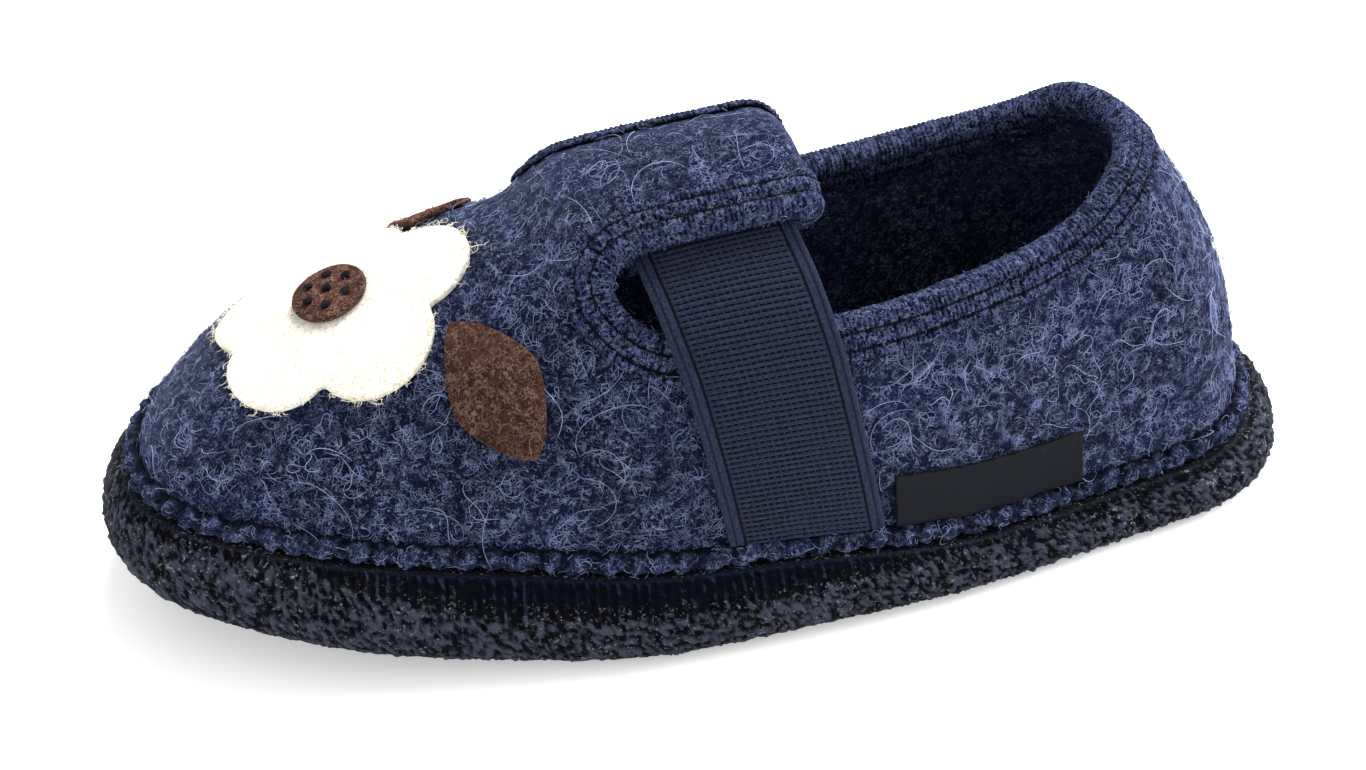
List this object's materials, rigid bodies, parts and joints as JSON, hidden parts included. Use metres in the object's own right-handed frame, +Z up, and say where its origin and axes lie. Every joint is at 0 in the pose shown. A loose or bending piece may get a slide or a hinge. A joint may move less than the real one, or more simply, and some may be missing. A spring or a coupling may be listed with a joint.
{
  "type": "child's felt slipper, left foot",
  "caption": "Child's low boiled-wool slipper: felt upper with a folded tab over a wide elastic, knit-bound collar, felt flower on the vamp and a dipped knit sole.",
  "frame": {"origin": "centre of the tread: on the sole's flat underside, half way along the shoe", "axes": "+X to the toe along the shoe's length, +Y to the outer side of the left foot, +Z up"},
  "size_m": [0.2086, 0.0972, 0.0755],
  "materials": {
    "sole": "matt latex-dipped knit, gritty",
    "insole_felt": "napped navy felt",
    "felt": "boiled wool felt, mottled navy and denim blue",
    "binding": "rib-knit tape",
    "elastic": "woven elastic, slightly satin",
    "seam_yarn": "overedge yarn, puckered",
    "label": "plain black woven tape",
    "cream_felt": "smooth cream felt",
    "brown_felt": "napped brown felt"
  },
  "bodies": {
    "root": {"outsole": "sole", "insole": "insole_felt", "upper": "felt", "collar_binding": "binding", "elastic_band": "elastic", "seam_bead": "seam_yarn", "label": "label", "flower_petals": "cream_felt", "flower_centre": "brown_felt", "leaf_outer": "brown_felt", "leaf_inner": "brown_felt"}
  },
  "joints": []
}
